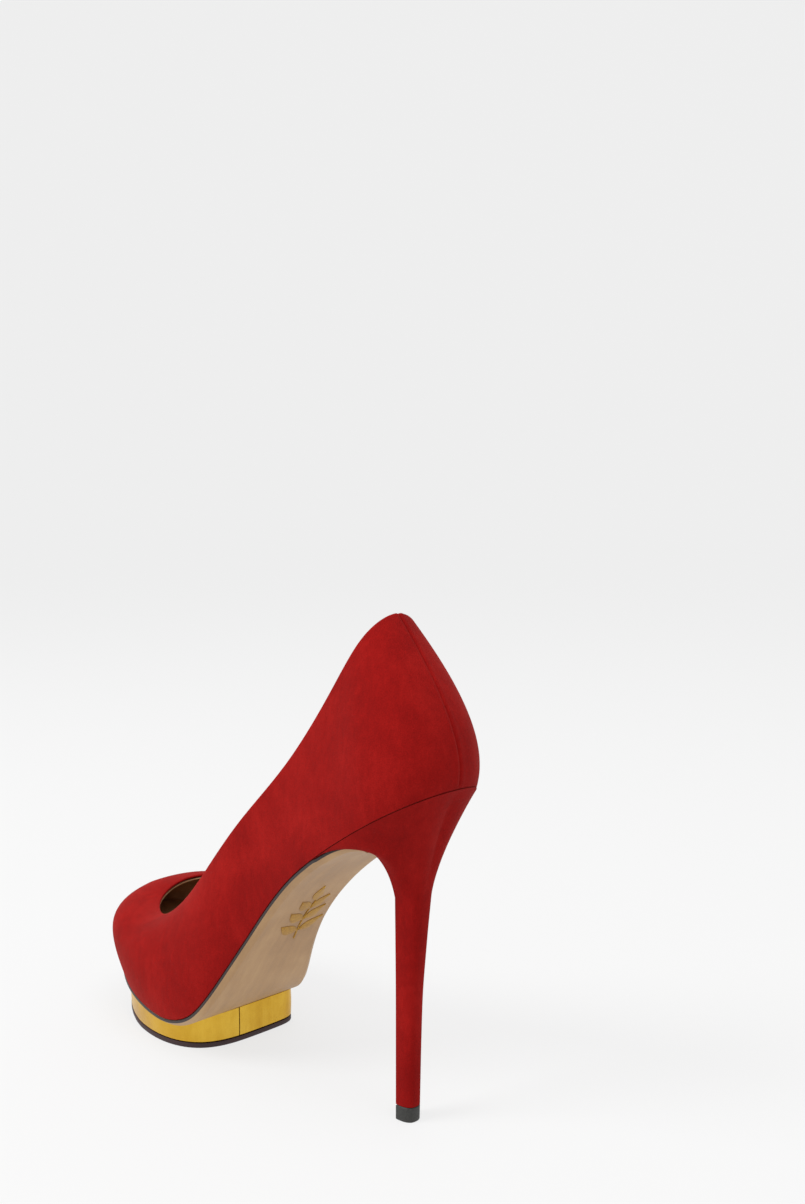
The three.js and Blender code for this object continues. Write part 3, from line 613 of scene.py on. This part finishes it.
BOARD = grain_material(
    "fibreboard", srgb(150, 120, 84), srgb(186, 156, 116), 800, 0.8, 0.0001, stretch=(1, 0.3, 0.3))
FOAM = grain_material("foam", srgb(214, 202, 178), srgb(236, 226, 204), 1200, 0.9, 0.0003)
STIFF = grain_material(
    "stiffener_sheet", srgb(190, 180, 160), srgb(214, 206, 188), 900, 0.8, 0.0001)
STEEL = grain_material(
    "steel", srgb(130, 134, 140), srgb(160, 164, 170), 500, 0.35, 0.00003,
    metallic=1.0, stretch=(1, 0.1, 0.1))
PLASTIC = grain_material(
    "heel_plastic", srgb(200, 194, 182), srgb(220, 214, 204), 600, 0.5, 0.00003)

# ---- pieces ----------------------------------------------------------------------------

NEAR_SEAM = np.array([0.015, 0.03, 0.045, 0.06, 0.08, 0.13, 0.16])
GROOVE_DEPTH, GROOVE_WIDTH = 0.42, 0.45
WELT_HEIGHT, WELT_PLACE, WELT_WIDTH = 0.16, 1.5, 0.8
LINING_TOP, LINING_FOOT = 0.999, 0.09

even = np.linspace(0, STATIONS, 260, endpoint=False)
around = np.unique(np.round(np.concatenate([even, NEAR_SEAM, STATIONS - NEAR_SEAM]), 5))
levels = np.concatenate([
    np.linspace(0, 0.12, 10)[:-1], np.linspace(0.12, 0.9, 40)[:-1], np.linspace(0.9, 0.991, 8)])

# The back seam is a groove with a low swelling on either side.
seam_distance = np.abs(wall(around, levels)[..., 0])
at_back = (from_heel(around) < 1)[:, None]
groove = GROOVE_DEPTH * np.exp(-(seam_distance / GROOVE_WIDTH) ** 2)
welt = WELT_HEIGHT * np.exp(-((seam_distance - WELT_PLACE) / WELT_WIDTH) ** 2)
upper_depth = np.where(at_back, groove - welt, 0.0) * smooth_step(levels, 0.0, 0.05)[None, :]
upper = build(
    "suede_upper_looks", [lofted(wall_shell(around, levels, 0, SUEDE, upper_depth), True)],
    ["suede_upper"], 50)

lining_levels = levels * LINING_TOP
lining_levels = np.concatenate([[0], lining_levels[lining_levels > LINING_FOOT]])
lining_shell = wall_shell(
    even, lining_levels, SUEDE + GAP, LINING, lining_depth(even, lining_levels))
lining = build(
    "upper_lining_looks", [lofted(lining_shell, True)], ["upper_lining"], 50)


def sock_loop(station, extra, rise):
    """Loop that follows the lining's inner face at a rise above the bottom."""
    reach = np.linspace(0.02, 0.6, 60)
    depth = lining_depth(station, reach) + LINING + extra
    face = wall(station, reach) + wall_inwards(station, reach) * depth[..., None]
    arcs, rises = arc_below(face), rise_of(face)
    loop = []
    for i in range(len(station)):
        target = rise + forepart_lift(arcs[i])
        k = max(int(np.argmax(rises[i] > target)), 1)
        before, after = rises[i, k - 1] - target[k - 1], rises[i, k] - target[k]
        share = np.clip(-before / (after - before), 0, 1)
        x = face[i, k - 1, 0] * (1 - share) + face[i, k, 0] * share
        arc = arcs[i, k - 1] * (1 - share) + arcs[i, k] * share
        loop.append((x, arc))
    x, arc = np.array(loop).T
    return bend(x, arc, rise + forepart_lift(arc))


sock_stations = np.linspace(0, STATIONS, 200, endpoint=False)
sock_top = SOCK_BASE + SOCK
SOCK_PROFILE = [  # distance from the lining, rise
    (1.1, sock_top), (0.5, sock_top - 0.05), (0.25, sock_top - 0.3), (0.4, SOCK_BASE),
]
sock_loops = [sock_loop(sock_stations, extra, rise) for extra, rise in SOCK_PROFILE]
sock = build(
    "sock_lining_looks", [slab(sock_loops, True)], ["sock_lining"], 30)

toe, rear = STATIONS // 2, station_at(SOLE_END)
sole_stations = np.concatenate([
    np.linspace(rear, toe, 130), np.linspace(toe, STATIONS - rear, 130)[1:]])
SOLE_PROFILE = [  # distance in from the edge, drop from the upper face
    (0.25, 0), (0, 0.2), (0, SOLE_EDGE - 0.1), (0.12, SOLE_EDGE + 0.08),
    (SOLE_BEVEL - 0.35, SOLE - 0.16), (SOLE_BEVEL, SOLE - 0.02), (SOLE_BEVEL + 0.6, SOLE),
]
SOLE_FACES = [0, 1, 1, 1, 0, 0, 0]  # 0 is tan leather and 1 the black edge
sole_loops = [sole_loop(sole_stations, extra, drop) for extra, drop in SOLE_PROFILE]
sole = build(
    "main_sole_looks", [slab(sole_loops, False, SOLE_FACES)], ["main_sole"], 30)

COVER_INNER_FRONT = HEEL_CORE_FRONT - 2
outside = heel_columns(HEEL_FRONT, 0, LIFT + GAP)
inside = heel_columns(COVER_INNER_FRONT, HEEL_SKIN, LIFT + GAP)
cover_shell = np.concatenate([outside, inside[:, ::-1]], 1)
cover = build(
    "heel_cover_looks", [lofted(cover_shell, True)], ["heel_cover"], 50)

lift_around = both_sides(np.linspace(0, 1, 24))


def lift_loop(height, skin):
    height = np.array(float(height))
    points = [stem_point(np.array(share), height, side, skin) for share, side in lift_around]
    return np.array(points)


LIFT_PROFILE = [(LIFT, 0.25), (LIFT - 0.2, 0), (0.4, 0), (0.12, 0.12), (0, 0.4)]  # height, inset
lift_loops = [lift_loop(height, skin) for height, skin in LIFT_PROFILE]
lift = build(
    "top_lift_looks", [slab(lift_loops, False)], ["top_lift"], 30)

island_stations = np.linspace(0, len(ISLAND), 168, endpoint=False)


def island_loop(edge, height):
    """Loop round the platform, at a height above its curved tread."""
    x, y = inset(ISLAND, island_stations, edge).T
    return np.stack([x, y, floor_at(y) + height], -1)


OUTSOLE_PROFILE = [  # inset, height
    (0.5, OUTSOLE), (0.12, OUTSOLE - 0.12), (0, OUTSOLE - 0.45), (0, 0.5), (0.15, 0.13), (0.6, 0),
]
outsole_loops = [island_loop(edge, height) for edge, height in OUTSOLE_PROFILE]
outsole = build(
    "platform_outsole_looks", [slab(outsole_loops, True)],
    ["platform_outsole"], 30)

SEAM_HALF_GAP = 0.018
wrap_base = OUTSOLE + GAP
wrap_stations = np.linspace(
    WRAP_SEAM + SEAM_HALF_GAP, WRAP_SEAM - SEAM_HALF_GAP + len(ISLAND), 240)


def wrap_line(edge, share):
    """Line along the platform's wall, at a share of its height."""
    x, y = inset(ISLAND, wrap_stations, edge).T
    low, high = floor_at(y) + wrap_base, under_sole_at(y) + GAP * 0.8
    return np.stack([x, y, low + (high - low) * share], -1)


WRAP_PROFILE = [  # inset, share of the height
    (0.25, 1), (WRAP, 1), (WRAP, 0), (0.25, 0), (0.03, 0.02),
    (0, 0.08), (-0.12, 0.35), (-0.12, 0.65), (0, 0.92), (0.03, 0.98),
]
wrap_lines = np.stack([wrap_line(edge, share) for edge, share in WRAP_PROFILE], 1)
wrap = build(
    "platform_wrap_looks", [lofted(wrap_lines)], ["platform_wrap"], 30)

ORNAMENT_GAP = 0.03


def under_sole(arc):
    """Rise at which the ornament starts, just clear of the sole."""
    return sole_top(arc) - SOLE - ORNAMENT_GAP

def leaf(x, arc, angle, length, width):
    """Pointed leaf with a raised midrib, lying on the underside of the sole."""
    t = np.linspace(0, 1, 15)
    half = width / 2 * np.sin(math.pi * t ** 0.8) ** 1.1 + 0.05
    bow = 0.12 * length * np.sin(math.pi * t)
    along = np.array([math.sin(angle), math.cos(angle)])
    across = np.array([math.cos(angle), -math.sin(angle)])
    bowed = bow[:, None] * across * math.copysign(1, angle) * 0.6
    middle = np.array([x, arc]) + t[:, None] * length * along + bowed
    left, right = middle + half[:, None] * across, middle - half[:, None] * across
    base = under_sole(arc)
    outline = [
        (left, 0.0), (left, 0.14), (middle, 0.42), (right, 0.14), (right, 0.0), (middle, 0.0)]
    return lofted(np.stack([bend(*side.T, base - drop) for side, drop in outline], 1))


def stem(points):
    """Thin raised stem through (x, arc) points, thinner towards its end."""
    x, arc = np.array(points).T
    half = 0.45 - 0.2 * np.linspace(0, 1, len(points))
    base = under_sole(arc)
    outline = [(half, 0), (half, 0.2), (0, 0.4), (-half, 0.2), (-half, 0), (0, 0)]
    return lofted(np.stack([bend(x + side, arc, base - drop) for side, drop in outline], 1))


SPRIG_FROM, SPRIG_TO, SPRIG_X = 128.0, 152.0, -0.5
SPRIG_SWAY, SPRIG_WAVE = 1.2, 8.5
LEAF_PLACES, LEAF_WIDTH = (5, 12, 19), 5.2
spine = [
    (SPRIG_X + SPRIG_SWAY * math.sin((arc - SPRIG_FROM) / SPRIG_WAVE), arc)
    for arc in np.linspace(SPRIG_FROM, SPRIG_TO, 25)]
sprig = [stem(spine)]
for pair, place in enumerate(LEAF_PLACES):
    x, arc = spine[place]
    spread, length = 1.08 - 0.14 * pair, 12.0 - 1.3 * pair
    sprig.append(leaf(x + 0.1, arc - 0.3, spread, length, LEAF_WIDTH))
    sprig.append(leaf(x - 0.1, arc + 0.3, -spread, length, LEAF_WIDTH))
tip_x, tip_arc = spine[-1]
sprig.append(leaf(tip_x, tip_arc - 0.3, 0.1, 10.5, 5.0))
ornament = build(
    "sole_ornament_looks", sprig, ["sole_ornament"], 40, weld=0.0005)

FINISHES = [
    (upper, [SUEDE_RED]), (lining, [LINING_TAN]), (sock, [LINING_TAN]),
    (sole, [SOLE_TAN, EDGE_BLACK]), (cover, [SUEDE_RED]), (lift, [LIFT_BLACK]),
    (outsole, [OUTSOLE_DARK]), (wrap, [GOLD_LEATHER]), (ornament, [GOLD_FOIL]),
]
for piece, finishes in FINISHES:
    for finish in finishes:
        piece.data.materials.append(finish)

# Nodes that keep their CAD mesh, all of them inside the shoe.
HIDDEN = {
    "toe_puff": STIFF, "heel_counter": STIFF, "insole_board": BOARD, "concealed_platform": CORK,
    "footbed_foam": FOAM, "bottom_filler": CORK, "steel_shank": STEEL,
    "shank_rivet_front": STEEL, "shank_rivet_rear": STEEL, "platform_core": CORK,
    "heel_block": PLASTIC, "heel_stem_tube": STEEL, "heel_screw": STEEL,
    "heel_nail_1": STEEL, "heel_nail_2": STEEL, "heel_nail_3": STEEL, "heel_nail_4": STEEL,
    "top_lift_pin": STEEL,
}
for node, finish in HIDDEN.items():
    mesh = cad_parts[node].data
    mesh.materials.clear()
    mesh.materials.append(finish)

# ---- floor, light and camera, in metres ------------------------------------------------

FLOOR_RADIUS, RIM = 4.5, 3.0


def floor_mesh():
    """Flat disc whose rim curves up into a backdrop on every side."""
    climb = np.radians(np.arange(10, 91, 10))
    radii = [0.5, 1.5, 3.0, FLOOR_RADIUS] + [FLOOR_RADIUS + RIM * math.sin(a) for a in climb]
    rises = [0.0] * 4 + [RIM * (1 - math.cos(a)) for a in climb]
    radii.append(FLOOR_RADIUS + RIM)
    rises.append(2 * RIM)
    turns = np.linspace(0, 2 * math.pi, 96, endpoint=False)
    points = [(r * math.cos(t), r * math.sin(t), z) for r, z in zip(radii, rises) for t in turns]
    count = len(turns)
    faces = []
    for k in range(len(radii) - 1):
        for i in range(count):
            j = (i + 1) % count
            faces.append([k * count + i, k * count + j, (k + 1) * count + j, (k + 1) * count + i])
    faces.append(list(range(count))[::-1])
    mesh = bpy.data.meshes.new("floor")
    mesh.from_pydata(points, [], faces)
    mesh.shade_smooth()
    return mesh


floor = bpy.data.objects.new("floor", floor_mesh())
bpy.context.scene.collection.objects.link(floor)
WHITE = (1, 1, 1, 1)
FLOOR_GLOW, WORLD_STRENGTH = 0.745, 0.7
AIM = Vector((0, 0, 0.09))

pale = Surface("pale_floor")
pale.set(Base_Color=srgb(104, 104, 104), Roughness=0.95, Specular_IOR_Level=0.0)
pale.set(Emission_Color=WHITE, Emission_Strength=FLOOR_GLOW)
floor.data.materials.append(pale.material)

world = bpy.data.worlds.new("studio")
world.use_nodes = True
background = world.node_tree.nodes["Background"]
background.inputs["Color"].default_value = WHITE
background.inputs["Strength"].default_value = WORLD_STRENGTH
bpy.context.scene.world = world
bpy.context.scene.view_settings.view_transform = "Standard"


def area_light(name, place, size, power):
    """Round lamp turned towards the middle of the shoe."""
    lamp = bpy.data.lights.new(name, "AREA")
    lamp.shape, lamp.size, lamp.energy = "DISK", size, power
    holder = bpy.data.objects.new(name, lamp)
    holder.location = place
    holder.rotation_euler = (AIM - Vector(place)).to_track_quat("-Z", "Y").to_euler()
    bpy.context.scene.collection.objects.link(holder)


area_light("key", (1.25, -0.6, 1.35), size=0.9, power=25)
area_light("top", (0.1, 0.5, 1.7), size=1.0, power=10)

CAMERA_PLACE = np.array([314.2, 486.8, 222.9])  # in millimetres, like the shapes
HEADING, PITCH = math.radians(45.2), math.radians(4.2)
LENS, SENSOR, NEAREST = 36.99, 36, 0.01
sight = Vector((
    -math.sin(HEADING) * math.cos(PITCH), -math.cos(HEADING) * math.cos(PITCH),
    -math.sin(PITCH)))
right = Vector((-math.cos(HEADING), math.sin(HEADING), 0))
up = right.cross(sight)
lens = bpy.data.cameras.new("camera")
lens.lens, lens.sensor_width, lens.clip_start = LENS, SENSOR, NEAREST
camera = bpy.data.objects.new("camera", lens)
bpy.context.scene.collection.objects.link(camera)
camera.matrix_world = Matrix.Translation(Vector((CAMERA_PLACE + SHIFT) * MM)) @ Matrix(
    (right, up, -sight)).transposed().to_4x4()
bpy.context.scene.camera = camera

bpy.context.view_layer.update()
